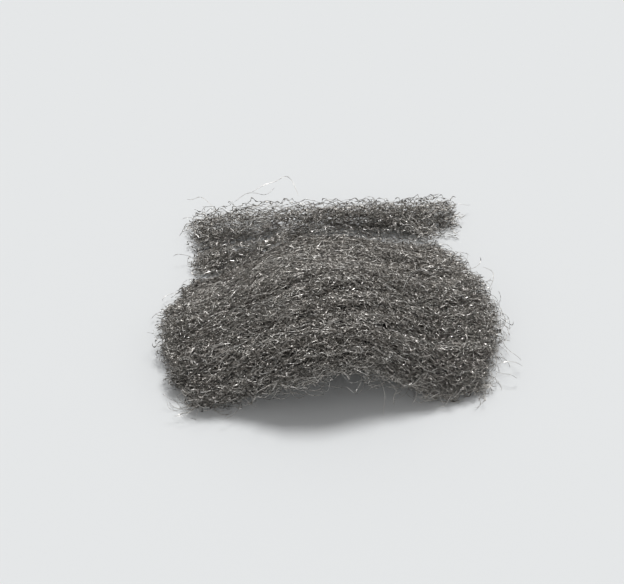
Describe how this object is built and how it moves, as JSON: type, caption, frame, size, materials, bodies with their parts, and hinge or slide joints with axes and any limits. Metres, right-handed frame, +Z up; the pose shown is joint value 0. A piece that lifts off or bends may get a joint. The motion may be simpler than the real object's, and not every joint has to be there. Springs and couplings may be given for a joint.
{
  "type": "steel wool bundle",
  "caption": "Arched fleece of tangled shaved steel strands, cut across at its ends, with a lock that parts along its back edge; used for scouring and polishing.",
  "frame": {"origin": "on the surface that the bundle rests on, under the middle of its box", "axes": "+X along the strands, from the left cut end to the right one; +Y towards the parted lock at the back; +Z up"},
  "size_m": [0.1, 0.0774, 0.0248],
  "materials": {
    "shaved_steel": "fine shaved strands, grey with bright glints"
  },
  "bodies": {
    "root": {"steel_wool_fleece": "shaved_steel"}
  },
  "joints": []
}
